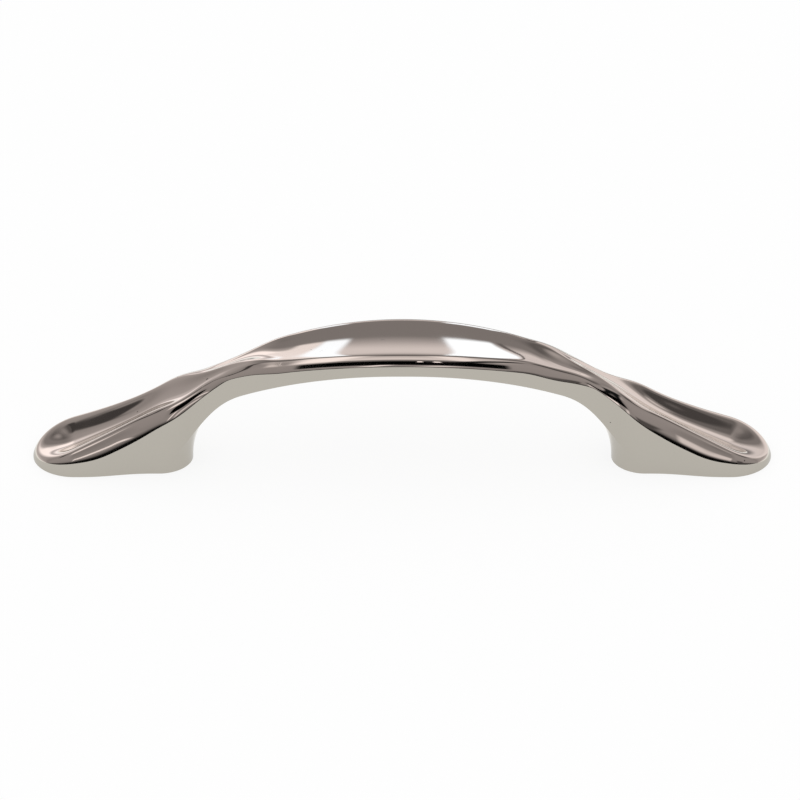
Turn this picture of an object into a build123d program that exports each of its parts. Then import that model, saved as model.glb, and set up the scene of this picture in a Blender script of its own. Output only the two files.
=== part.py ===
"""Twisted arch pull for a cabinet door or drawer, cast in one piece.

Millimetres, with +Z away from the door. The origin is the middle of the mounting plane, halfway
between the two screw holes, and +X runs along the grip. Half a turn about Z brings the pull back
onto itself. Seen from above, a crest leaves the far rim of the left foot, crosses the left neck and
becomes the near rim of the bar. Its twin does the same from the bar's far rim to the right foot.
"""

from build123d import *
import os
from math import hypot, pi, sin, sqrt

# Overall sizes
length = 118.0
hole_spacing = 76.2
crown_height = 22.0
finger_clearance = 18.9

# Plan outline: the bar swells between two waists, and each foot ends in a round spoon
bar_half_width = 7.0
bar_side_radius = 102.5
waist_end = 25.7
post_half_width = 5.55
post_axis = 39.0
spoon_radius = 6.65

# Crest line from the side: a long arc over the bar, and a curve that rises out of each foot to meet it
crown_radius = 85.5
shoulder = 29.25
tip_height = 1.9
foot_slope = 0.32
shoulder_blend = 4.5

# The hollows between the crests, and the stretch over which the crests change sides
bar_dish = 0.3
neck_dish = 0.35
foot_dish = 1.33
twist = (15.5, 42.0)

# How far each crest is rounded over, as a share of the swing from crest to valley
bar_crest = 0.2
neck_crest = 0.3
foot_crest = 0.5

# The roll of the section at each neck: the bar side leans one way and the foot side the other
roll = 0.15
neck = 29.4
roll_reach = 11.0

# Rims: the width over which the upper surface rolls over into the wall, and how tall each is for its width
bar_rim = 1.65
neck_rim = 1.8
foot_rim = 2.1
tip_rim = 0.65
bar_rim_rise = 1.36
neck_rim_rise = 1.38
foot_rim_rise = 1.92
rim_fullness = 0.9

# Where the sizes of the bar, the neck and the foot give way to each other
bar_end = 14.0
foot_start = 46.0

# Underside: each post has a round inner end that flares up into the arch
post_foot = 0.3
post_sweep = 14.5
post_end_gap = 0.03

# Threaded holes for the door screws, drilled at the core size of the thread
thread_core_radius = 1.73
hole_depth = 7.5
hole_point = 1.0
hole_mouth = 0.35

# Fineness of the lofted surface, and how far the cutting bodies reach past the part
sections_along = 101
points_across = 41
outline_steps = 12
overlap = 0.8

spoon_centre = length / 2 - spoon_radius
sky = 2 * crown_height


def ease(value):
    """Smooth step from 0 to 1 with no jump in slope or curvature."""
    t = min(max(value, 0.0), 1.0)
    return t * t * t * (10 - 15 * t + 6 * t * t)


def between(x, span, before, after):
    """Size that eases from one value to another over a span of the length."""
    return before + (after - before) * ease((x - span[0]) / (span[1] - span[0]))


def half_width(x):
    """Half the width of the plan outline, between the two round ends."""
    x = min(abs(x), spoon_centre)
    bar = bar_half_width - x * x / (2 * bar_side_radius)
    foot = between(x, (post_axis, spoon_centre), post_half_width, spoon_radius)
    return between(x, (waist_end, post_axis), bar, foot)


def crown_line(x):
    """Height of the long arc over the bar."""
    return crown_height - x * x / (2 * crown_radius)


def foot_line(x):
    """Height of the curve that leaves the tip of a foot at its slope and meets the arc at the shoulder."""
    out = length / 2 - abs(x)
    reach = length / 2 - shoulder
    lift = (crown_line(shoulder) - tip_height - foot_slope * reach) / reach**2
    return tip_height + foot_slope * out + lift * out * out


def crest_height(x):
    """Height of the crests above the mounting plane."""
    crown, foot = crown_line(x), foot_line(x)
    share = max(1 - abs(crown - foot) / shoulder_blend, 0.0)
    return min(crown, foot) - shoulder_blend * share**3 / 6


def along(x, on_bar, on_neck, on_foot):
    """Size that eases from the bar to the neck and on to the foot."""
    inner = between(abs(x), (bar_end, neck), on_bar, on_neck)
    return between(abs(x), (neck, foot_start), inner, on_foot)


def rim_width(x):
    """Width of the rolled rim, fullest on the feet and finest at their tips."""
    return between(abs(x), (foot_start, length / 2), along(x, bar_rim, neck_rim, foot_rim), tip_rim)


def lean(x):
    """Sideways slope of the section as it rolls through a neck."""
    u = min(max((neck - abs(x)) / roll_reach, -1.0), 1.0)
    fullest = sqrt(7) * (7 / 6) ** 3
    return roll * fullest * u * (1 - u * u) ** 3


def rim_fall(share):
    """Drop of a round rim of width 1 at a share of its width, running on straight past the wall."""
    reach = rim_fullness * min(max(share, 0.0), 1.0)
    edge_slope = rim_fullness**2 / sqrt(1 - rim_fullness**2)
    return 1 - sqrt(1 - reach**2) + max(share - 1, 0.0) * edge_slope


def dish_share(across, x):
    """Share of the dish depth, from 0 on a crest to 1 in the valley between two crests."""
    crest = 2 * ease((abs(x) - twist[0]) / (twist[1] - twist[0])) - 1
    swing = sin(pi * (across - crest) / 2)
    soft = along(x, bar_crest, neck_crest, foot_crest)
    return (hypot(swing, soft) - soft) / (hypot(1, soft) - soft)


def crown_point(x, y):
    """Point of the twisted upper surface above a place in the plan."""
    far_side = -y if x > 0 else y
    past_centre = max(abs(x) - spoon_centre, 0.0)
    side = hypot(y, past_centre)
    rim = rim_width(x)
    crest = half_width(x) - rim
    across = side / crest if past_centre else far_side / crest
    dish = along(x, bar_dish, neck_dish, foot_dish) * dish_share(across, x)
    fall = rim * along(x, bar_rim_rise, neck_rim_rise, foot_rim_rise) * rim_fall((side - crest) / rim)
    return (x, y, crest_height(x) - dish - fall - lean(x) * far_side)


def spaced(count):
    """Numbers from -1 to 1, closer together towards the ends."""
    return [sin(pi * (k / (count - 1) - 0.5)) for k in range(count)]


def section_above(x):
    """Section across the pull of everything above the upper surface."""
    reach = half_width(x) + overlap
    points = [crown_point(x, reach * share) for share in spaced(points_across)]
    curve = Edge.make_spline(points, parameters=[k / (points_across - 1) for k in range(points_across)])
    roof = Polyline(curve @ 1, (x, reach, sky), (x, -reach, sky), curve @ 0)
    return Face(Wire([curve, *roof.edges()]))


def space_above():
    """Everything above the twisted upper surface, lofted along the whole pull."""
    return loft([section_above((length / 2 + overlap) * share) for share in spaced(sections_along)])


def plan():
    """Outline of the whole pull seen from above."""
    step = spoon_centre / outline_steps
    points = [(k * step, half_width(k * step)) for k in range(-outline_steps, outline_steps + 1)]
    back = Spline(points, tangents=[(1, 0), (1, 0)])
    ends = [
        ThreePointArc((s * spoon_centre, spoon_radius), (s * length / 2, 0), (s * spoon_centre, -spoon_radius))
        for s in (-1, 1)
    ]
    return make_face([back, mirror(back, about=Plane.XZ), *ends])


def space_below():
    """The arch: one profile turned about each post, so that the post's inner end is round."""
    end_radius = post_half_width + post_end_gap
    sweep_centre = Vector(end_radius + post_sweep, post_foot)
    run, rise = post_axis - sweep_centre.X, finger_clearance - sweep_centre.Y
    arch_radius = (run**2 + rise**2 - post_sweep**2) / (2 * (rise - post_sweep))
    arch_centre = Vector(post_axis, finger_clearance - arch_radius)
    join = arch_centre + (sweep_centre - arch_centre).normalized() * arch_radius
    far = post_axis + bar_half_width
    with BuildSketch(Plane.XZ) as profile:
        with BuildLine():
            Line((end_radius, -overlap), (end_radius, post_foot))
            TangentArc((end_radius, post_foot), join, tangent=(0, 1))
            TangentArc(join, (post_axis, finger_clearance), tangent=(join - arch_centre).rotate(Axis.Z, -90))
            Polyline((post_axis, finger_clearance), (far, finger_clearance), (far, -overlap), (end_radius, -overlap))
        make_face()
    turned = revolve(profile.sketch, axis=Axis.Z, revolution_arc=360)
    half = Pos(-post_axis, 0, 0) * turned & Pos(-post_axis / 2, 0, 0) * Box(post_axis, 4 * far, sky)
    return half + mirror(half, about=Plane.YZ)


def screw_hole():
    """Blind hole at the core size of the thread, with a chamfered mouth and a drilled point."""
    seat = (Align.CENTER, Align.CENTER, Align.MIN)
    bore = Cylinder(thread_core_radius, hole_depth, align=seat)
    point = Pos(0, 0, hole_depth) * Cone(thread_core_radius, 0, hole_point, align=seat)
    mouth = Cone(thread_core_radius + hole_mouth, thread_core_radius, hole_mouth, align=seat)
    return bore + point + mouth


def pull():
    """The finished casting."""
    body = extrude(plan(), amount=crown_height + overlap, dir=(0, 0, 1))
    body = body - space_above() - space_below()
    return body - [Pos(s * hole_spacing / 2, 0, 0) * screw_hole() for s in (-1, 1)]


os.makedirs("parts", exist_ok=True)
export_step(pull(), "parts/pull.step")
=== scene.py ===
"""Studio picture of a twisted arch pull in polished nickel.

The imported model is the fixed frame: metres, +Z away from the door, +X along the grip. The pull lies
with its feet on a white table. A mirror finish shows the studio more than itself, so most of the look
is in the studio: a grey room with soft light banks at the back, a dark side where the camera stands
and a white table that runs out under it.
"""

from __future__ import annotations

import logging
import math
from dataclasses import dataclass, field
from enum import Enum

import bmesh
import bpy
from mathutils import Matrix, Vector

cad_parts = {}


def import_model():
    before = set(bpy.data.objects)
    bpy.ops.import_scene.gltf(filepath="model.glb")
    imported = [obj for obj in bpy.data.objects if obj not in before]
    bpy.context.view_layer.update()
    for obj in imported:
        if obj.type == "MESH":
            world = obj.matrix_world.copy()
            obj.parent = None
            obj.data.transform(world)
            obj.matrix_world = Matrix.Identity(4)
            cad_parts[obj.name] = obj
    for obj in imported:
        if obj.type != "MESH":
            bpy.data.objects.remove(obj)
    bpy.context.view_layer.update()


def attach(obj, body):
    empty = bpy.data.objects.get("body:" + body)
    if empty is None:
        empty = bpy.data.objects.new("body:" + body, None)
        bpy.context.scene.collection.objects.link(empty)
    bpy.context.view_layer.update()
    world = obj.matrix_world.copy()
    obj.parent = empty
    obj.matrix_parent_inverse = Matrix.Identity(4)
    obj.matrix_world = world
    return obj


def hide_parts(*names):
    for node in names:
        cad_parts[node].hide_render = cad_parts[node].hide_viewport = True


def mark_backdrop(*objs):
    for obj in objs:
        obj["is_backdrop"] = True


LOG = logging.getLogger("arch_pull")
Colour = tuple[float, float, float]
Triple = tuple[float, float, float]
MILLIMETRE = 0.001
WHITE: Colour = (1.0, 1.0, 1.0)

# Millimetres: how close two vertices are that become one, and two heights that count as the same
WELD = 1e-4
LEVEL_GAP = 1e-3


class Place(Enum):
    """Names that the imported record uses."""

    NODE = "pull"
    BODY = "root"
    SLOT = "nickel"


def ease(value: float) -> float:
    """Smooth step from 0 to 1 with no jump in slope or curvature."""
    t = min(max(value, 0.0), 1.0)
    return t * t * t * (10 - 15 * t + 6 * t * t)


def between(x: float, start: float, end: float, before: float, after: float) -> float:
    """Size that eases from one value to another over a span of the length."""
    return before + (after - before) * ease((x - start) / (end - start))


def as_object(name: str, made: bmesh.types.BMesh, unit: float = 1.0) -> bpy.types.Object:
    """Turns a finished bmesh into an object of the scene.

    Args:
        name: The object's name.
        made: The bmesh, which is freed.
        unit: The length of the bmesh's unit in metres.

    Returns:
        The new object.
    """
    bmesh.ops.scale(made, vec=(unit,) * 3, verts=made.verts)
    mesh = bpy.data.meshes.new(name)
    made.to_mesh(mesh)
    made.free()
    piece = bpy.data.objects.new(name, mesh)
    bpy.context.scene.collection.objects.link(piece)
    return piece


def cut_away(piece: bpy.types.Object, cutter: bpy.types.Object) -> None:
    """Cuts one closed mesh out of another and removes the cutter.

    Args:
        piece: The object that is cut.
        cutter: The object that is taken away from it.
    """
    cut = piece.modifiers.new("cut", "BOOLEAN")
    cut.operation, cut.solver, cut.object = "DIFFERENCE", "EXACT", cutter
    bpy.context.view_layer.update()
    found = piece.evaluated_get(bpy.context.evaluated_depsgraph_get())
    mesh = bpy.data.meshes.new_from_object(found)
    piece.modifiers.clear()
    piece.data = mesh
    bpy.data.objects.remove(cutter)


def extrude_ring(
    made: bmesh.types.BMesh, ring: list[bmesh.types.BMEdge]
) -> tuple[list[bmesh.types.BMEdge], list[bmesh.types.BMVert]]:
    """Extrudes a ring of edges in place.

    Args:
        made: The bmesh that holds the ring.
        ring: The edges to extrude.

    Returns:
        The new ring's open edges and its vertices.
    """
    grown = bmesh.ops.extrude_edge_only(made, edges=ring)["geom"]
    edges = [part for part in grown if isinstance(part, bmesh.types.BMEdge)]
    verts = [part for part in grown if isinstance(part, bmesh.types.BMVert)]
    return [edge for edge in edges if edge.is_boundary], verts


class NodeSheet:
    """A node tree with short calls for the nodes that the finishes and the studio need."""

    def __init__(self, tree: bpy.types.NodeTree) -> None:
        """Empties the tree.

        Args:
            tree: The node tree of a material or a world.
        """
        self.tree = tree
        tree.nodes.clear()

    def add(self, kind: str, **settings: object) -> bpy.types.Node:
        """Adds a node.

        Args:
            kind: The node's type name.
            settings: Values for the node's own properties.

        Returns:
            The new node.
        """
        node = self.tree.nodes.new(kind)
        for name, value in settings.items():
            setattr(node, name, value)
        return node

    def join(self, source: bpy.types.NodeSocket, target: bpy.types.NodeSocket) -> None:
        """Links an output to an input."""
        self.tree.links.new(source, target)

    def feed(self, value: object, target: bpy.types.NodeSocket) -> None:
        """Links a socket, or sets a plain value.

        Args:
            value: A socket to link, or a number or colour to set.
            target: The input that takes it.
        """
        if isinstance(value, bpy.types.NodeSocket):
            self.join(value, target)
        else:
            target.default_value = value

    def maths(self, operation: str, *values: object) -> bpy.types.NodeSocket:
        """Adds a Math node.

        Args:
            operation: The node's operation, such as ADD.
            values: Up to three numbers or sockets.

        Returns:
            The result.
        """
        node = self.add("ShaderNodeMath", operation=operation)
        for value, target in zip(values, node.inputs):
            self.feed(value, target)
        return node.outputs[0]

    def ease(
        self, value: object, low: float, high: float, start: float = 0.0, end: float = 1.0
    ) -> bpy.types.NodeSocket:
        """Adds a smooth step between two values.

        Args:
            value: The number or socket that is stepped.
            low: Where the step starts.
            high: Where the step ends.
            start: The result up to low.
            end: The result from high on.

        Returns:
            The result.
        """
        node = self.add("ShaderNodeMapRange", interpolation_type="SMOOTHSTEP")
        for name, number in (("From Min", low), ("From Max", high), ("To Min", start), ("To Max", end)):
            node.inputs[name].default_value = number
        self.feed(value, node.inputs["Value"])
        return node.outputs["Result"]

    def blend(self, share: object, first: object, second: object) -> bpy.types.NodeSocket:
        """Adds a colour mix.

        Args:
            share: How much of the second colour shows.
            first: The colour underneath.
            second: The colour laid over it.

        Returns:
            The mixed colour.
        """
        # A Mix node keeps its colour sockets behind those for numbers and vectors
        node = self.add("ShaderNodeMix", data_type="RGBA")
        self.feed(share, node.inputs[0])
        for value, target in ((first, node.inputs[6]), (second, node.inputs[7])):
            if isinstance(value, tuple):
                value = (*value, 1.0)
            self.feed(value, target)
        return node.outputs[2]


@dataclass(frozen=True)
class Mark:
    """A small pit or rub in the polish, in millimetres on the plan of the pull.

    Its turn is in radians, and a mark that isn't pitted is a dull rub.
    """

    x: float
    y: float
    half_length: float
    half_width: float
    turn: float
    pitted: bool


@dataclass(frozen=True)
class PolishedNickel:
    """Mirror-polished nickel plate: slightly warm, with polishing haze, pin pits and fine rubs.

    Attributes:
        colour: Light that the plate throws back.
        roughness: Roughness where the polish is clear and where it is hazy.
        haze_scale: Fineness of the haze, per metre.
        haze_detail: Layers of detail in the haze.
        haze_range: Noise values between which the haze comes in.
        ripple_scale: Fineness of the ripple in the plate, per metre.
        ripple_detail: Layers of detail in the ripple.
        ripple_depth: Depth of the ripple in metres.
        pin_scale: Cells per metre, each with room for one pin pit.
        pin_size: Radius of a pin pit as a share of a cell.
        pin_share: Share of the cells without a pit.
        marks: Larger pits and rubs.
        mark_reach: Half the height of a mark's space, in millimetres.
        mark_edge: Where a mark starts to fade and where it has gone, as shares of its size.
        pit_shade: Share of the colour that is left in a pit.
        rub_roughness: Roughness on a mark.
    """

    colour: Colour = (0.6, 0.565, 0.5)
    roughness: tuple[float, float] = (0.03, 0.085)
    haze_scale: float = 110.0
    haze_detail: float = 3.0
    haze_range: tuple[float, float] = (0.35, 0.75)
    ripple_scale: float = 190.0
    ripple_detail: float = 1.0
    ripple_depth: float = 6e-6
    pin_scale: float = 420.0
    pin_size: float = 0.07
    pin_share: float = 0.86
    marks: tuple[Mark, ...] = (
        Mark(-31.1, -0.9, 0.22, 0.16, 0.0, True),
        Mark(-31.7, -2.3, 0.55, 0.07, 1.1, False),
        Mark(-31.3, -0.2, 0.5, 0.06, 0.2, False),
        Mark(-19.4, -4.2, 0.5, 0.08, 0.9, False),
        Mark(-19.4, -4.3, 0.45, 0.07, -0.7, False),
        Mark(-14.5, -1.3, 0.12, 0.1, 0.0, True),
        Mark(-12.9, -2.2, 0.3, 0.05, 0.4, False),
        Mark(-42.3, 0.7, 0.14, 0.12, 0.0, True),
        Mark(-3.1, -0.1, 0.35, 0.06, 0.1, True),
        Mark(6.5, -0.1, 0.1, 0.09, 0.0, True),
        Mark(54.3, -0.4, 0.5, 0.06, -0.5, False),
        Mark(50.1, 1.6, 0.12, 0.1, 0.0, True),
    )
    mark_reach: float = 2.0
    mark_edge: tuple[float, float] = (0.55, 1.1)
    pit_shade: float = 0.3
    rub_roughness: float = 0.4

    def material(self) -> bpy.types.Material:
        """Builds the material.

        Returns:
            The nickel, on Object coordinates in metres.
        """
        made = bpy.data.materials.new("polished_nickel")
        made.use_nodes = True
        sheet = NodeSheet(made.node_tree)
        place = sheet.add("ShaderNodeTexCoord").outputs["Object"]
        pitted, rubbed = self._pins(sheet, place), 0.0
        for mark in self.marks:
            cover = self._cover(sheet, place, mark)
            if mark.pitted:
                pitted = sheet.maths("MAXIMUM", pitted, cover)
            else:
                rubbed = sheet.maths("MAXIMUM", rubbed, cover)
        worn = sheet.maths("MAXIMUM", pitted, rubbed)
        haze = self._noise(sheet, place, self.haze_scale, self.haze_detail)
        polish = sheet.ease(haze, *self.haze_range, *self.roughness)
        rough = sheet.maths("MULTIPLY", sheet.maths("SUBTRACT", self.rub_roughness, polish), worn)
        dark = (*(part * self.pit_shade for part in self.colour),)
        bump = sheet.add("ShaderNodeBump")
        bump.inputs["Strength"].default_value = 1.0
        bump.inputs["Distance"].default_value = self.ripple_depth
        ripple = self._noise(sheet, place, self.ripple_scale, self.ripple_detail)
        sheet.join(ripple, bump.inputs["Height"])
        metal = sheet.add("ShaderNodeBsdfPrincipled")
        metal.inputs["Metallic"].default_value = 1.0
        sheet.join(sheet.blend(pitted, self.colour, dark), metal.inputs["Base Color"])
        sheet.join(sheet.maths("ADD", polish, rough), metal.inputs["Roughness"])
        sheet.join(bump.outputs[0], metal.inputs["Normal"])
        sheet.join(metal.outputs[0], sheet.add("ShaderNodeOutputMaterial").inputs[0])
        return made

    def _noise(
        self, sheet: NodeSheet, place: bpy.types.NodeSocket, scale: float, detail: float
    ) -> bpy.types.NodeSocket:
        """Adds a noise texture.

        Args:
            sheet: The material's nodes.
            place: Object coordinates in metres.
            scale: Fineness of the noise, per metre.
            detail: Layers of detail in it.

        Returns:
            The noise's value.
        """
        noise = sheet.add("ShaderNodeTexNoise")
        sheet.join(place, noise.inputs["Vector"])
        noise.inputs["Scale"].default_value = scale
        noise.inputs["Detail"].default_value = detail
        return noise.outputs[0]

    def _pins(self, sheet: NodeSheet, place: bpy.types.NodeSocket) -> bpy.types.NodeSocket:
        """Scatters a few pin pits over the plate.

        Args:
            sheet: The material's nodes.
            place: Object coordinates in metres.

        Returns:
            A share that is 1 in a pit.
        """
        cells = sheet.add("ShaderNodeTexVoronoi")
        sheet.join(place, cells.inputs["Vector"])
        cells.inputs["Scale"].default_value = self.pin_scale
        chance = sheet.add("ShaderNodeSeparateColor")
        sheet.join(cells.outputs["Color"], chance.inputs[0])
        chosen = sheet.maths("GREATER_THAN", chance.outputs[0], self.pin_share)
        near = sheet.ease(cells.outputs["Distance"], self.pin_size / 2, self.pin_size, 1.0, 0.0)
        return sheet.maths("MULTIPLY", chosen, near)

    def _cover(self, sheet: NodeSheet, place: bpy.types.NodeSocket, mark: Mark) -> bpy.types.NodeSocket:
        """Works out where a mark lies.

        Args:
            sheet: The material's nodes.
            place: Object coordinates in metres.
            mark: The mark.

        Returns:
            A share that is 1 on the mark and falls to 0 at its edge.
        """
        local = sheet.add("ShaderNodeMapping", vector_type="TEXTURE")
        sheet.join(place, local.inputs["Vector"])
        height = PullShape().crown(mark.x, mark.y)
        local.inputs["Location"].default_value = Vector((mark.x, mark.y, height)) * MILLIMETRE
        local.inputs["Rotation"].default_value = (0.0, 0.0, mark.turn)
        reach = Vector((mark.half_length, mark.half_width, self.mark_reach))
        local.inputs["Scale"].default_value = reach * MILLIMETRE
        away = sheet.add("ShaderNodeVectorMath", operation="LENGTH")
        sheet.join(local.outputs[0], away.inputs[0])
        return sheet.ease(away.outputs["Value"], *self.mark_edge, 1.0, 0.0)


@dataclass(frozen=True)
class WhiteTable:
    """The white table: pale where it is looked at, and uneven in the metal.

    Attributes:
        colour: Colour of the matt top, which keeps the shadow.
        glow: Share of light in what the camera and the metal see.
        mirrored_glow: Painted light: brightness of the table in the metal in front of the pull.
        far_glow: Painted light: brightness of the table in the metal behind the pull.
        far_side: Places across the table between which one gives way to the other, in metres.
        painted_shade_share: How far the painted shade dims the stretch behind the grip in the metal.
        painted_shade_start: Distances behind the pull over which that painted shade comes in, in metres.
        painted_shade_reach: Distances to either side over which it gives out, in metres.
    """

    colour: Colour = (0.95, 0.95, 0.95)
    glow: float = 0.85
    mirrored_glow: float = 0.75
    far_glow: float = 1.2
    far_side: tuple[float, float] = (0.0, 0.008)
    painted_shade_share: float = 0.8
    painted_shade_start: tuple[float, float] = (0.018, 0.032)
    painted_shade_reach: tuple[float, float] = (0.034, 0.046)

    def material(self) -> bpy.types.Material:
        """Builds the material.

        Returns:
            A matt white that keeps a faint shadow on a white that looks lit.
        """
        made = bpy.data.materials.new("white_table")
        made.use_nodes = True
        sheet = NodeSheet(made.node_tree)
        matt = sheet.add("ShaderNodeBsdfDiffuse")
        matt.inputs[0].default_value = (*self.colour, 1.0)
        path = sheet.add("ShaderNodeLightPath")
        lit = sheet.add("ShaderNodeEmission")
        lit.inputs[0].default_value = (*WHITE, 1.0)
        # Glossy rays see the table's painted light and painted shade instead of plain white
        change = sheet.maths("SUBTRACT", self._painted_gleam(sheet), 1.0)
        change = sheet.maths("MULTIPLY", path.outputs["Is Glossy Ray"], change)
        sheet.join(sheet.maths("ADD", 1.0, change), lit.inputs[1])
        seen = sheet.maths("MAXIMUM", path.outputs["Is Camera Ray"], path.outputs["Is Glossy Ray"])
        seen = sheet.maths("MAXIMUM", seen, path.outputs["Is Transmission Ray"])
        share = sheet.maths("MULTIPLY", seen, self.glow)
        mix = sheet.add("ShaderNodeMixShader")
        sheet.join(share, mix.inputs[0])
        sheet.join(matt.outputs[0], mix.inputs[1])
        sheet.join(lit.outputs[0], mix.inputs[2])
        sheet.join(mix.outputs[0], sheet.add("ShaderNodeOutputMaterial").inputs[0])
        return made

    def _painted_gleam(self, sheet: NodeSheet) -> bpy.types.NodeSocket:
        """Works out the painted light and painted shade at each place on the table, as the metal sees it.

        Args:
            sheet: The material's nodes.

        Returns:
            The brightness.
        """
        place = sheet.add("ShaderNodeSeparateXYZ")
        sheet.join(sheet.add("ShaderNodeTexCoord").outputs["Object"], place.inputs[0])
        aside = sheet.maths("ABSOLUTE", place.outputs["X"])
        gleam = sheet.ease(place.outputs["Y"], *self.far_side, self.mirrored_glow, self.far_glow)
        # Painted shade: a dark stretch of table behind the grip, seen only in the metal
        dark = sheet.ease(aside, *self.painted_shade_reach, self.painted_shade_share, 0.0)
        dark = sheet.maths("MULTIPLY", dark, sheet.ease(place.outputs["Y"], *self.painted_shade_start))
        return sheet.maths("MULTIPLY", gleam, sheet.maths("SUBTRACT", 1.0, dark))


# Balance of red, green and blue in the picture: of the room, and of light that comes off the table
WARM: Colour = (1.06, 0.985, 0.945)
GREENISH: Colour = (1.0, 1.0, 0.955)
SCREEN_GAMMA = 2.2

# Degrees: a sweep runs once round the X axis, and starts straight below the pull
FULL_TURN = 360.0
FIRST_SWEEP = -90.0


def mirrored(tone: float, tint: Colour = WARM) -> Colour:
    """Works out the light that shows as a tone once the nickel has mirrored it.

    Args:
        tone: Brightness in the picture, from 0 to 255.
        tint: Balance of red, green and blue in the picture.

    Returns:
        The light's linear colour.
    """
    shown = [tone * part / 255 for part in tint]
    red, green, blue = (part**SCREEN_GAMMA / metal for part, metal in zip(shown, PolishedNickel.colour))
    return red, green, blue


@dataclass(frozen=True)
class Patch:
    """A soft-edged patch of light or dark on the far walls of the room that the metal mirrors.

    Its place is given by the sweep, an angle round the X axis from the back horizon (0) over the
    ceiling (90) to the front horizon (180), and by the side, the share of X in the direction.

    Attributes:
        name: What it is.
        side: The side of its middle.
        sweep: The sweep of its middle, in degrees.
        half_side: Half its width.
        half_sweep: Half its height, in degrees.
        soft_side: Half the width of its soft edges to the sides.
        soft_sweep: Half the height of its soft edges above and below, in degrees.
        tone: Brightness that the metal shows there, from 0 to 255.
        lean: How far its middle moves to the side with each degree of sweep.
        tint: Balance of red, green and blue that the metal shows there.
    """

    name: str
    side: float
    sweep: float
    half_side: float
    half_sweep: float
    soft_side: float
    soft_sweep: float
    tone: float
    lean: float = 0.0
    tint: Colour = WARM


@dataclass(frozen=True)
class Panel:
    """A soft-edged panel near the pull, in millimetres, that only the metal sees.

    It faces the bar from a distance, at a sweep round the X axis in degrees. The soft width and
    height are the shares of the panel that fade out.
    """

    name: str
    x: float
    sweep: float
    distance: float
    half_width: float
    half_height: float
    colour: Colour
    soft_width: float
    soft_height: float
    aim_height: float = 16.0

    def build(self) -> bpy.types.Object:
        """Builds the panel.

        Returns:
            The panel, marked as stage.
        """
        turn = math.radians(self.sweep)
        out = Vector((0.0, math.cos(turn), math.sin(turn)))
        up = Vector((0.0, -math.sin(turn), math.cos(turn)))
        centre = Vector((self.x, 0.0, self.aim_height)) + out * self.distance
        made = bmesh.new()
        made.loops.layers.uv.new("panel")
        bmesh.ops.create_grid(made, x_segments=1, y_segments=1, size=1.0, calc_uvs=True)
        for vert in made.verts:
            aside = Vector((vert.co.x * self.half_width, 0.0, 0.0))
            vert.co = centre + aside + up * vert.co.y * self.half_height
        panel = as_object(self.name, made, MILLIMETRE)
        panel.data.materials.append(self._material())
        for ray in ("camera", "diffuse", "transmission", "volume_scatter", "shadow"):
            setattr(panel, f"visible_{ray}", False)
        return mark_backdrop(panel)

    def _material(self) -> bpy.types.Material:
        """Builds the material.

        Returns:
            A light that fades out towards the panel's edges.
        """
        made = bpy.data.materials.new(self.name)
        made.use_nodes = True
        sheet = NodeSheet(made.node_tree)
        split = sheet.add("ShaderNodeSeparateXYZ")
        sheet.join(sheet.add("ShaderNodeUVMap", uv_map="panel").outputs[0], split.inputs[0])
        cover: object = 1.0
        for place, soft in ((split.outputs[0], self.soft_width), (split.outputs[1], self.soft_height)):
            inset = sheet.maths("PINGPONG", place, 0.5)
            cover = sheet.maths("MULTIPLY", cover, sheet.ease(inset, 0.0, soft / 2))
        lit = sheet.add("ShaderNodeEmission")
        lit.inputs[0].default_value = (*self.colour, 1.0)
        lit.inputs[1].default_value = 1.0
        mix = sheet.add("ShaderNodeMixShader")
        sheet.join(cover, mix.inputs[0])
        sheet.join(sheet.add("ShaderNodeBsdfTransparent").outputs[0], mix.inputs[1])
        sheet.join(lit.outputs[0], mix.inputs[2])
        sheet.join(mix.outputs[0], sheet.add("ShaderNodeOutputMaterial").inputs[0])
        return made


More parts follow.
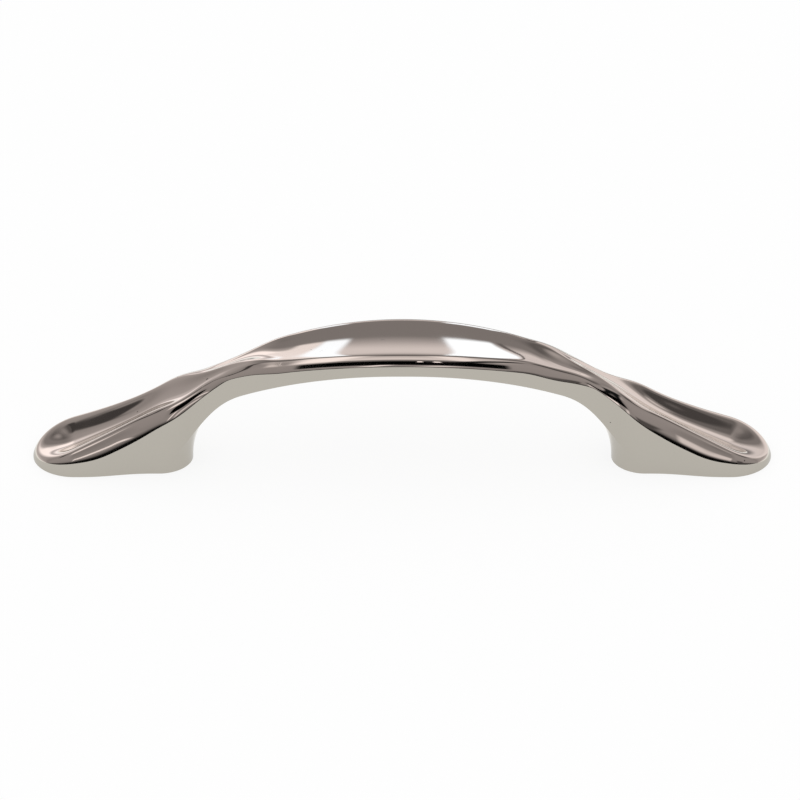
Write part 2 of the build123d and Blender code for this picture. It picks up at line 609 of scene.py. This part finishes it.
@dataclass(frozen=True)
class Studio:
    """The room round the table, as the metal mirrors it, and plain white behind the object.

    Attributes:
        middle: Sweeps and the tones that the metal shows there, in the middle of the room.
        outer: The same for the sides of the room.
        change: Sides between which the middle gives way to the outer tones.
        table_sweeps: Sweeps below the first and above the second look towards the table.
        patches: Patches of light and dark on the room's walls, each laid over those before it.
        panels: Light banks, a dark flag and two lamps near the pull.
        fill: Light on the table from all sides.
    """

    middle: tuple[tuple[float, float], ...] = (
        (-90.0, 205), (-40.0, 75), (-8.0, 85), (4.0, 120), (12.0, 186), (21.0, 190), (28.0, 150),
        (34.0, 112), (42.0, 112), (50.0, 84), (58.0, 92), (70.0, 175), (104.0, 200), (114.0, 100),
        (128.0, 112), (162.0, 128), (168.0, 96), (172.0, 14), (193.0, 12), (200.0, 198),
    )
    outer: tuple[tuple[float, float], ...] = (
        (-40.0, 215), (-10.0, 205), (5.0, 172), (20.0, 145), (40.0, 138), (60.0, 124), (75.0, 126),
        (110.0, 132), (150.0, 128), (164.0, 120), (168.0, 92), (172.0, 18), (193.0, 14), (200.0, 198),
    )
    change: tuple[float, float] = (0.28, 0.53)
    table_sweeps: tuple[float, float] = (-30.0, 195.0)
    patches: tuple[Patch, ...] = (
        Patch("left_strip", -0.30, 83.0, 0.10, 28.0, 0.05, 10.0, 232, -0.004),
        Patch("right_strip", 0.22, 85.0, 0.06, 25.0, 0.04, 8.0, 220, 0.0035),
        Patch("left_wall", -0.55, 62.0, 0.09, 5.0, 0.05, 4.0, 78),
        Patch("right_wall", 0.59, 57.0, 0.07, 12.0, 0.035, 6.0, 94),
        Patch("left_glow", -0.24, 17.0, 0.12, 7.0, 0.05, 3.0, 236, -0.004),
        Patch("right_glow", 0.49, 14.0, 0.12, 19.0, 0.05, 6.0, 202),
        Patch("right_wing", 0.70, 38.0, 0.05, 13.0, 0.02, 4.0, 188),
        Patch("left_corner", -0.652, 72.0, 0.05, 15.0, 0.012, 3.0, 58, -0.0062),
        Patch("right_corner", 0.66, 68.0, 0.08, 8.0, 0.04, 4.0, 64),
        Patch("left_spot", -0.12, 157.0, 0.04, 8.0, 0.02, 4.0, 215, -0.01),
        Patch("right_spot", 0.15, 160.0, 0.06, 7.0, 0.04, 4.0, 190, -0.01),
        Patch("left_gleam", -0.22, -10.0, 0.19, 14.0, 0.06, 5.0, 232),
        Patch("right_rim", 0.57, 166.0, 0.12, 8.0, 0.05, 4.0, 70),
        Patch("right_gap", 0.37, 103.0, 0.05, 23.0, 0.03, 6.0, 26, -0.004, WHITE),
    )
    panels: tuple[Panel, ...] = (
        Panel("left_spill", -80.0, 23.0, 352.0, 19.0, 74.0, mirrored(214), 0.6, 0.3),
        Panel("left_bank", -56.6, 23.0, 350.0, 15.0, 78.0, mirrored(250, WHITE), 0.5, 0.35),
        Panel("right_edge", 86.5, 23.0, 348.0, 3.5, 80.0, mirrored(90), 0.5, 0.2),
        Panel("right_bank", 57.7, 23.0, 350.0, 25.0, 82.0, mirrored(256, WHITE), 0.28, 0.35),
        Panel("dark_flag", 0.0, 137.0, 100.0, 73.0, 27.0, mirrored(8, WHITE), 0.1, 0.15),
        Panel("near_lamp", 10.3, 128.0, 96.0, 2.0, 8.0, mirrored(235), 0.4, 0.6),
        Panel("far_lamp", 20.6, 128.0, 96.0, 2.6, 8.0, mirrored(250), 0.4, 0.6),
    )
    fill: float = 1.0

    def build(self) -> bpy.types.World:
        """Builds the panels and the world.

        Returns:
            The world, with white for the camera, the room for the metal and even light for the table.
        """
        for panel in self.panels:
            panel.build()
        world = bpy.data.worlds.new("studio")
        world.use_nodes = True
        sheet = NodeSheet(world.node_tree)
        split = sheet.add("ShaderNodeSeparateXYZ")
        sheet.join(sheet.add("ShaderNodeTexCoord").outputs["Generated"], split.inputs[0])
        side = split.outputs[0]
        turn = sheet.maths("ARCTAN2", split.outputs[2], split.outputs[1])
        last, first = math.radians(FIRST_SWEEP + FULL_TURN), math.radians(FIRST_SWEEP)
        sweep = sheet.maths("DEGREES", sheet.maths("WRAP", turn, last, first))
        outwards = sheet.ease(sheet.maths("ABSOLUTE", side), *self.change)
        middle, outer = self._walls(sheet, sweep, self.middle), self._walls(sheet, sweep, self.outer)
        colour = sheet.blend(outwards, middle, outer)
        for patch in self.patches:
            cover = self._cover(sheet, patch, side, sweep)
            colour = sheet.blend(cover, colour, mirrored(patch.tone, patch.tint))
            colour.node.label = patch.name
        path = sheet.add("ShaderNodeLightPath")
        even = sheet.blend(path.outputs["Is Glossy Ray"], (self.fill,) * 3, colour)
        seen = sheet.blend(path.outputs["Is Camera Ray"], even, WHITE)
        light = sheet.add("ShaderNodeBackground")
        sheet.join(seen, light.inputs[0])
        light.inputs[1].default_value = 1.0
        sheet.join(light.outputs[0], sheet.add("ShaderNodeOutputWorld").inputs[0])
        return world

    def _walls(
        self, sheet: NodeSheet, sweep: bpy.types.NodeSocket, tones: tuple[tuple[float, float], ...]
    ) -> bpy.types.NodeSocket:
        """Colours the room by the sweep alone.

        Args:
            sheet: The world's nodes.
            sweep: The direction's angle round the X axis, in degrees.
            tones: Sweeps and the tones that the metal shows there.

        Returns:
            The room's colour.
        """
        share = sheet.maths("DIVIDE", sheet.maths("SUBTRACT", sweep, FIRST_SWEEP), FULL_TURN)
        ramp = sheet.add("ShaderNodeValToRGB")
        sheet.join(share, ramp.inputs[0])
        stops = ramp.color_ramp.elements
        while len(stops) < len(tones):
            stops.new(1.0)
        below, above = self.table_sweeps
        for stop, (angle, tone) in zip(stops, tones):
            stop.position = (angle - FIRST_SWEEP) / FULL_TURN
            stop.color = (*mirrored(tone, WARM if below <= angle <= above else GREENISH), 1.0)
        return ramp.outputs[0]

    def _cover(
        self, sheet: NodeSheet, patch: Patch, side: bpy.types.NodeSocket, sweep: bpy.types.NodeSocket
    ) -> bpy.types.NodeSocket:
        """Works out where a patch covers the room.

        Args:
            sheet: The world's nodes.
            patch: The patch.
            side: The direction's share of X.
            sweep: The direction's angle round the X axis, in degrees.

        Returns:
            A share that is 1 on the patch and falls softly to 0 at its edges.
        """
        up = sheet.maths("SUBTRACT", sweep, patch.sweep)
        across = sheet.maths("SUBTRACT", side, patch.side)
        across = sheet.maths("SUBTRACT", across, sheet.maths("MULTIPLY", up, patch.lean))
        cover: object = 1.0
        for away, half, soft in (
            (across, patch.half_side, patch.soft_side), (up, patch.half_sweep, patch.soft_sweep)
        ):
            share = sheet.ease(sheet.maths("ABSOLUTE", away), half - soft, half + soft, 1.0, 0.0)
            cover = sheet.maths("MULTIPLY", cover, share)
        return cover


@dataclass(frozen=True)
class PhotoCamera:
    """The camera of the photograph: far off, a little above the table, and square to the grip.

    The elevation is in degrees, the sensor in millimetres, and the distances are in metres. The
    column and row say where the pull's origin lies in a picture that is so many pixels wide.
    """

    elevation: float = 31.0
    distance: float = 2.2
    pixels: float = 800.0
    pixels_per_mm: float = 6.25
    origin_column: float = 402.2
    origin_row: float = 455.6
    sensor: float = 36.0
    clip: tuple[float, float] = (0.1, 20.0)

    def build(self) -> bpy.types.Object:
        """Builds the camera and makes it the scene's.

        Returns:
            The camera.
        """
        data = bpy.data.cameras.new("photo_camera")
        view_width = self.pixels / self.pixels_per_mm * MILLIMETRE
        data.sensor_width = self.sensor
        data.lens = self.sensor * self.distance / view_width
        data.clip_start, data.clip_end = self.clip
        camera = bpy.data.objects.new("photo_camera", data)
        bpy.context.scene.collection.objects.link(camera)
        angle = math.radians(self.elevation)
        back = Vector((0.0, -math.cos(angle), math.sin(angle)))
        up = Vector((0.0, math.sin(angle), math.cos(angle)))
        middle = self.pixels / 2
        aim = Vector((middle - self.origin_column, 0.0, 0.0)) + up * (self.origin_row - middle)
        camera.location = aim * (MILLIMETRE / self.pixels_per_mm) + back * self.distance
        camera.rotation_mode = "QUATERNION"
        camera.rotation_quaternion = (-back).to_track_quat("-Z", "Y")
        bpy.context.scene.camera = camera
        return camera


@dataclass
class Table:
    """The table under the pull."""

    half_size: float = 1.5
    finish: WhiteTable = field(default_factory=WhiteTable)

    def build(self) -> bpy.types.Object:
        """Builds the table top just under the feet.

        Returns:
            The table top, marked as stage.
        """
        made = bmesh.new()
        bmesh.ops.create_grid(made, x_segments=1, y_segments=1, size=self.half_size)
        table = as_object("table", made)
        table.data.materials.append(self.finish.material())
        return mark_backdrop(table)


@dataclass(frozen=True)
class PullShape:
    """Sizes of the casting in millimetres, and the formulas that its upper surface follows.

    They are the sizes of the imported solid. The scene repeats them to mesh the same form finely enough
    for a mirror finish. Half a turn about Z brings the form back onto itself. A size of three
    numbers holds on the bar, at the neck and on the foot.
    """

    # Overall sizes
    length: float = 118.0
    crown_height: float = 22.0
    finger_clearance: float = 18.9
    # Plan outline: the bar swells between two waists, and each foot ends in a round spoon
    bar_half_width: float = 7.0
    bar_side_radius: float = 102.5
    waist_end: float = 25.7
    post_half_width: float = 5.55
    post_axis: float = 39.0
    spoon_radius: float = 6.65
    # Crest line from the side: a long arc over the bar, and a curve out of each foot that meets it
    crown_radius: float = 85.5
    shoulder: float = 29.25
    tip_height: float = 1.9
    foot_slope: float = 0.32
    shoulder_blend: float = 4.5
    # Depth of the hollows, how far each crest is rounded over, and where the crests change sides
    dish: Triple = (0.3, 0.35, 1.33)
    crest: Triple = (0.2, 0.3, 0.5)
    twist: tuple[float, float] = (15.5, 42.0)
    # The roll of the section at each neck
    roll: float = 0.15
    neck: float = 29.4
    roll_reach: float = 11.0
    # Rims: the width that rolls over into the wall, and how tall it is for its width
    rim: Triple = (1.65, 1.8, 2.1)
    rim_rise: Triple = (1.36, 1.38, 1.92)
    tip_rim: float = 0.65
    rim_fullness: float = 0.9
    # Where the sizes of the bar, the neck and the foot give way to each other
    bar_end: float = 14.0
    foot_start: float = 46.0
    # Underside: the post's round inner end, its flare into the arch, and how far a cutter reaches past
    post_foot: float = 0.3
    post_sweep: float = 14.5
    post_end_gap: float = 0.03
    overlap: float = 1.0

    @property
    def spoon_centre(self) -> float:
        """Distance of a spoon's centre from the middle of the pull."""
        return self.length / 2 - self.spoon_radius

    def along(self, x: float, sizes: Triple) -> float:
        """Eases a size from the bar to the neck and on to the foot.

        Args:
            x: Place along the pull.
            sizes: The size on the bar, at the neck and on the foot.

        Returns:
            The size at that place.
        """
        inner = between(abs(x), self.bar_end, self.neck, sizes[0], sizes[1])
        return between(abs(x), self.neck, self.foot_start, inner, sizes[2])

    def half_width(self, x: float) -> float:
        """Half the width of the plan outline, between the two round ends.

        Args:
            x: Place along the pull.

        Returns:
            The half width.
        """
        x = min(abs(x), self.spoon_centre)
        bar = self.bar_half_width - x * x / (2 * self.bar_side_radius)
        foot = between(x, self.post_axis, self.spoon_centre, self.post_half_width, self.spoon_radius)
        return between(x, self.waist_end, self.post_axis, bar, foot)

    def rim_width(self, x: float) -> float:
        """Width over which the upper surface rolls over into the wall."""
        return between(abs(x), self.foot_start, self.length / 2, self.along(x, self.rim), self.tip_rim)

    def crown_line(self, x: float) -> float:
        """Height of the long arc over the bar."""
        return self.crown_height - x * x / (2 * self.crown_radius)

    def foot_line(self, x: float) -> float:
        """Height of the curve that leaves a foot's tip at its slope and meets the arc at the shoulder.

        Args:
            x: Place along the pull.

        Returns:
            The height above the mounting plane.
        """
        out = self.length / 2 - abs(x)
        reach = self.length / 2 - self.shoulder
        lift = (self.crown_line(self.shoulder) - self.tip_height - self.foot_slope * reach) / reach**2
        return self.tip_height + self.foot_slope * out + lift * out * out

    def crest_height(self, x: float) -> float:
        """Height of the crests, where the arc and the foot's curve are blended into each other.

        Args:
            x: Place along the pull.

        Returns:
            The height above the mounting plane.
        """
        crown, foot = self.crown_line(x), self.foot_line(x)
        share = max(1 - abs(crown - foot) / self.shoulder_blend, 0.0)
        return min(crown, foot) - self.shoulder_blend * share**3 / 6

    def lean(self, x: float) -> float:
        """Sideways slope of the section as it rolls through a neck.

        Args:
            x: Place along the pull.

        Returns:
            The slope.
        """
        u = min(max((self.neck - abs(x)) / self.roll_reach, -1.0), 1.0)
        fullest = math.sqrt(7) * (7 / 6) ** 3
        return self.roll * fullest * u * (1 - u * u) ** 3

    def dish_share(self, across: float, x: float) -> float:
        """Works out how much of its depth the dish has at a place.

        Args:
            across: Place across the pull, from -1 on one rim to 1 on the other.
            x: Place along the pull.

        Returns:
            The share, from 0 on a crest to 1 in the valley between two crests.
        """
        start, end = self.twist
        crest = 2 * ease((abs(x) - start) / (end - start)) - 1
        swing = math.sin(math.pi * (across - crest) / 2)
        soft = self.along(x, self.crest)
        return (math.hypot(swing, soft) - soft) / (math.hypot(1, soft) - soft)

    def crown(self, x: float, y: float) -> float:
        """Height of the twisted upper surface.

        Args:
            x: Place along the pull.
            y: Place across the pull.

        Returns:
            The height above the mounting plane.
        """
        past_centre = max(abs(x) - self.spoon_centre, 0.0)
        side = math.hypot(y, past_centre)
        far_side = -y if x > 0 else y
        rim = self.rim_width(x)
        crest = self.half_width(x) - rim
        across = side / crest if past_centre else far_side / crest
        reach = self.rim_fullness * min(max((side - crest) / rim, 0.0), 1.0)
        fall = rim * self.along(x, self.rim_rise) * (1 - math.sqrt(1 - reach * reach))
        dish = self.along(x, self.dish) * self.dish_share(across, x)
        return self.crest_height(x) - dish - fall - self.lean(x) * far_side

    def arch_profile(self, steps: int) -> list[tuple[float, float]]:
        """Profile of the arch beside a post, as distance from the post's axis and height.

        Args:
            steps: How many points lie on each of the two arcs.

        Returns:
            The points from under the mounting plane, up the post's inner end and along the arch.
        """
        end = self.post_half_width + self.post_end_gap
        centre = Vector((end + self.post_sweep, self.post_foot))
        run, rise = self.post_axis - centre.x, self.finger_clearance - centre.y
        radius = (run**2 + rise**2 - self.post_sweep**2) / (2 * (rise - self.post_sweep))
        arch = Vector((self.post_axis, self.finger_clearance - radius))
        join = arch + (centre - arch).normalized() * radius
        lower_turn = math.atan2(join.y - centre.y, join.x - centre.x)
        upper_turn = math.atan2(join.y - arch.y, join.x - arch.x)
        points = [(end, -self.overlap)]
        for k in range(steps + 1):
            turn = math.pi + (lower_turn - math.pi) * k / steps
            x, y = centre.x + self.post_sweep * math.cos(turn), centre.y + self.post_sweep * math.sin(turn)
            points.append((x, y))
        for k in range(1, steps + 1):
            turn = upper_turn + (math.pi / 2 - upper_turn) * k / steps
            points.append((arch.x + radius * math.cos(turn), arch.y + radius * math.sin(turn)))
        return points


@dataclass
class ArchPull:
    """The cast pull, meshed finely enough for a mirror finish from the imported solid's own formulas.

    Attributes:
        shape: Sizes and formulas of the casting.
        finish: Its nickel plate.
        stations: Grid cells along the pull.
        foot_fineness: How much finer the cells are at the tips than they would be if even.
        lanes: Grid cells across the pull.
        crest_fineness: How much finer the cells are at the crests than they would be if even.
        rim_rings: Rings of cells over the rolled rim.
        crease: Height of the thin ring that keeps the edge of the wall crisp, in millimetres.
        arc_steps: Points on each arc of the arch's profile.
        spin_steps: Steps of the arch's half turn round a post.
        sharp_angle: Angle above which an edge is sharp, in degrees.
        settle_steps: Rounds that a rim's place at a tip takes to settle.
        cut_gap: Distance at which a cut takes a vertex as lying on it, in millimetres.
    """

    shape: PullShape = field(default_factory=PullShape)
    finish: PolishedNickel = field(default_factory=PolishedNickel)
    stations: int = 640
    foot_fineness: float = 0.6
    lanes: int = 72
    crest_fineness: float = 0.3
    rim_rings: int = 14
    crease: float = 0.1
    arc_steps: int = 48
    spin_steps: int = 96
    sharp_angle: float = 35.0
    settle_steps: int = 6
    cut_gap: float = 1e-5

    def build(self) -> bpy.types.Object:
        """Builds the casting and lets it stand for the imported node.

        Returns:
            The dressed piece.
        """
        made = bmesh.new()
        self._crown(made)
        self._wall(made, self._rim(made))
        piece = as_object("nickel_pull", made, MILLIMETRE)
        cut_away(piece, as_object("arch_cutter", self._arch(), MILLIMETRE))
        for side in (-1, 1):
            cut_away(piece, as_object("hole_cutter", TappedHole(side).build(), MILLIMETRE))
        piece.name = "nickel_pull"
        piece.data.shade_smooth()
        piece.data.set_sharp_from_angle(angle=math.radians(self.sharp_angle))
        piece.data.materials.clear()
        piece.data.materials.append(self.finish.material())
        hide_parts(Place.NODE.value)
        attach(piece, Place.BODY.value)
        return piece

    def _crest_radius(self, turn: float) -> float:
        """Finds where the rim of a spoon starts.

        Args:
            turn: Angle round the spoon's centre from the long axis, in radians.

        Returns:
            The distance from the spoon's centre.
        """
        shape = self.shape
        reach = shape.spoon_radius - shape.tip_rim
        for _ in range(self.settle_steps):
            reach = shape.spoon_radius - shape.rim_width(shape.spoon_centre + reach * math.cos(turn))
        return reach

    def _crown(self, made: bmesh.types.BMesh) -> None:
        """Lays a grid over the upper surface inside the rims.

        Args:
            made: The empty bmesh that takes the grid.
        """
        bmesh.ops.create_grid(made, x_segments=self.stations, y_segments=self.lanes, size=1.0)
        shape = self.shape
        centre = shape.spoon_centre
        depth = self._crest_radius(0.0)
        for vert in made.verts:
            station = abs(vert.co.x)
            across = vert.co.y * (1 + self.crest_fineness * (1 - vert.co.y**2))
            along = (centre + depth) * station * (1 + self.foot_fineness * (1 - station))
            if along <= centre:
                x, y = along, across * (shape.half_width(along) - shape.rim_width(along))
            else:
                share = (along - centre) / depth
                out, up = share * math.sqrt(1 - across**2 / 2), across * math.sqrt(1 - share**2 / 2)
                turn = math.atan2(up, out)
                reach = math.hypot(out, up) * self._crest_radius(turn)
                x, y = centre + reach * math.cos(turn), reach * math.sin(turn)
            x = math.copysign(x, vert.co.x)
            vert.co = (x, y, shape.crown(x, y))

    def _rim(self, made: bmesh.types.BMesh) -> list[bmesh.types.BMEdge]:
        """Extrudes the grid's border ring by ring over the rolled rim.

        Args:
            made: The bmesh with the grid.

        Returns:
            The outer ring's edges.
        """
        ring = [edge for edge in made.edges if edge.is_boundary]
        fullest = math.asin(self.shape.rim_fullness)
        for k in range(1, self.rim_rings + 1):
            share = math.sin(fullest * k / self.rim_rings) / self.shape.rim_fullness
            ring, verts = extrude_ring(made, ring)
            for vert in verts:
                x, y = self._rim_place(vert.co.x, vert.co.y, share)
                vert.co = (x, y, self.shape.crown(x, y))
        return ring

    def _rim_place(self, x: float, y: float, share: float) -> tuple[float, float]:
        """Moves a place on the rim straight outwards.

        Args:
            x: Place along the pull.
            y: Place across the pull.
            share: How far out it goes, from 0 on the crest to 1 on the wall.

        Returns:
            The new place in the plan.
        """
        shape = self.shape
        past_centre = abs(x) - shape.spoon_centre
        if past_centre <= 0:
            return x, math.copysign(shape.half_width(x) - shape.rim_width(x) * (1 - share), y)
        turn = math.atan2(y, past_centre)
        inner = self._crest_radius(turn)
        reach = inner + (shape.spoon_radius - inner) * share
        return math.copysign(shape.spoon_centre + reach * math.cos(turn), x), reach * math.sin(turn)

    def _wall(self, made: bmesh.types.BMesh, ring: list[bmesh.types.BMEdge]) -> None:
        """Drops the wall from the rim to the mounting plane and closes the base.

        Args:
            made: The bmesh with the upper surface.
            ring: The edges along the top of the wall.
        """
        ring, verts = extrude_ring(made, ring)
        bmesh.ops.translate(made, verts=verts, vec=(0.0, 0.0, -self.crease))
        ring, verts = extrude_ring(made, ring)
        for vert in verts:
            vert.co.z = 0.0
        bmesh.ops.contextual_create(made, geom=ring)
        bmesh.ops.recalc_face_normals(made, faces=made.faces)

    def _arch(self) -> bmesh.types.BMesh:
        """Spins the arch's profile round each post's axis, as the room for the fingers.

        Returns:
            The closed cutter, in millimetres.
        """
        shape = self.shape
        far = shape.post_axis + shape.bar_half_width
        roof = [(far, shape.finger_clearance), (far, -shape.overlap)]
        profile = shape.arch_profile(self.arc_steps) + roof
        made = bmesh.new()
        verts = [made.verts.new((0.0, -reach, height)) for reach, height in profile]
        edges = [made.edges.new(pair) for pair in zip(verts, verts[1:] + verts[:1])]
        bmesh.ops.spin(
            made, geom=verts + edges, cent=(0, 0, 0), axis=(0, 0, 1), angle=math.pi, steps=self.spin_steps
        )
        bmesh.ops.holes_fill(made, edges=[edge for edge in made.edges if edge.is_boundary], sides=0)
        bmesh.ops.translate(made, verts=made.verts, vec=(-shape.post_axis, 0.0, 0.0))
        everything = [*made.verts, *made.edges, *made.faces]
        bmesh.ops.bisect_plane(
            made,
            geom=everything,
            dist=self.cut_gap,
            plane_co=(0, 0, 0),
            plane_no=(1, 0, 0),
            clear_outer=True,
        )
        everything = [*made.verts, *made.edges, *made.faces]
        bmesh.ops.mirror(made, geom=everything, matrix=Matrix.Identity(4), merge_dist=WELD, axis="X")
        bmesh.ops.recalc_face_normals(made, faces=made.faces)
        return made


@dataclass(frozen=True)
class TappedHole:
    """The threaded hole for a door screw, in millimetres: a helical groove round the drilled core.

    Attributes:
        side: The end of the pull, -1 or 1.
        pitch: Rise of the groove in one turn.
        depth: Depth of the hole up to its drilled point.
        tapped_to: Depth at which the groove starts to run out.
        mouth: Width and depth of the chamfered mouth.
        lead_out: How far the cutter reaches out of the mouth.
        turns: Grid cells round the hole.
        rows: Grid cells along the hole.
    """

    side: int
    spacing: float = 76.2
    core_radius: float = 1.73
    thread_depth: float = 0.33
    pitch: float = 0.794
    depth: float = 7.5
    tapped_to: float = 6.6
    point: float = 1.0
    mouth: float = 0.35
    lead_out: float = 0.6
    turns: int = 36
    rows: int = 84

    def radius(self, height: float, turn: float) -> float:
        """Radius of the hole.

        Args:
            height: Height above the mounting plane.
            turn: Angle round the hole's axis, in radians.

        Returns:
            The radius of the groove, the core or the mouth there.
        """
        phase = (height / self.pitch - turn / (2 * math.pi)) % 1.0
        tapped = between(height, self.tapped_to, self.depth, 1.0, 0.0)
        groove = self.thread_depth * (1 - abs(2 * phase - 1)) * tapped
        return self.core_radius + max(groove, self.mouth - height)

    def build(self) -> bmesh.types.BMesh:
        """Rolls a grid into the closed cutter.

        Returns:
            The cutter, in millimetres.
        """
        made = bmesh.new()
        bmesh.ops.create_grid(made, x_segments=self.rows, y_segments=self.turns, size=0.5)
        for vert in made.verts:
            height = -self.lead_out + (vert.co.x + 0.5) * (self.depth + self.lead_out)
            turn = (vert.co.y + 0.5) * 2 * math.pi
            reach = self.radius(height, turn)
            vert.co = (reach * math.cos(turn), reach * math.sin(turn), height)
        bmesh.ops.remove_doubles(made, verts=made.verts, dist=WELD)
        made.verts.ensure_lookup_table()
        for level, tip in ((-self.lead_out, -self.lead_out), (self.depth, self.depth + self.point)):
            ends = [edge for edge in made.edges if edge.is_boundary]
            ring = [edge for edge in ends if abs(edge.verts[0].co.z - level) < LEVEL_GAP]
            _, verts = extrude_ring(made, ring)
            for vert in verts:
                vert.co = (0.0, 0.0, tip)
        bmesh.ops.remove_doubles(made, verts=made.verts, dist=WELD)
        bmesh.ops.recalc_face_normals(made, faces=made.faces)
        bmesh.ops.translate(made, verts=made.verts, vec=(self.side * self.spacing / 2, 0.0, 0.0))
        return made


def main() -> None:
    """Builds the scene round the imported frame."""
    logging.basicConfig(level=logging.INFO, format="%(name)s: %(message)s")
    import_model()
    scene = bpy.context.scene
    scene.view_settings.view_transform = "Standard"
    PhotoCamera().build()
    scene.world = Studio().build()
    Table().build()
    pull = ArchPull().build()
    LOG.info("%s has %d faces", pull.name, len(pull.data.polygons))


if __name__ == "__main__":
    main()
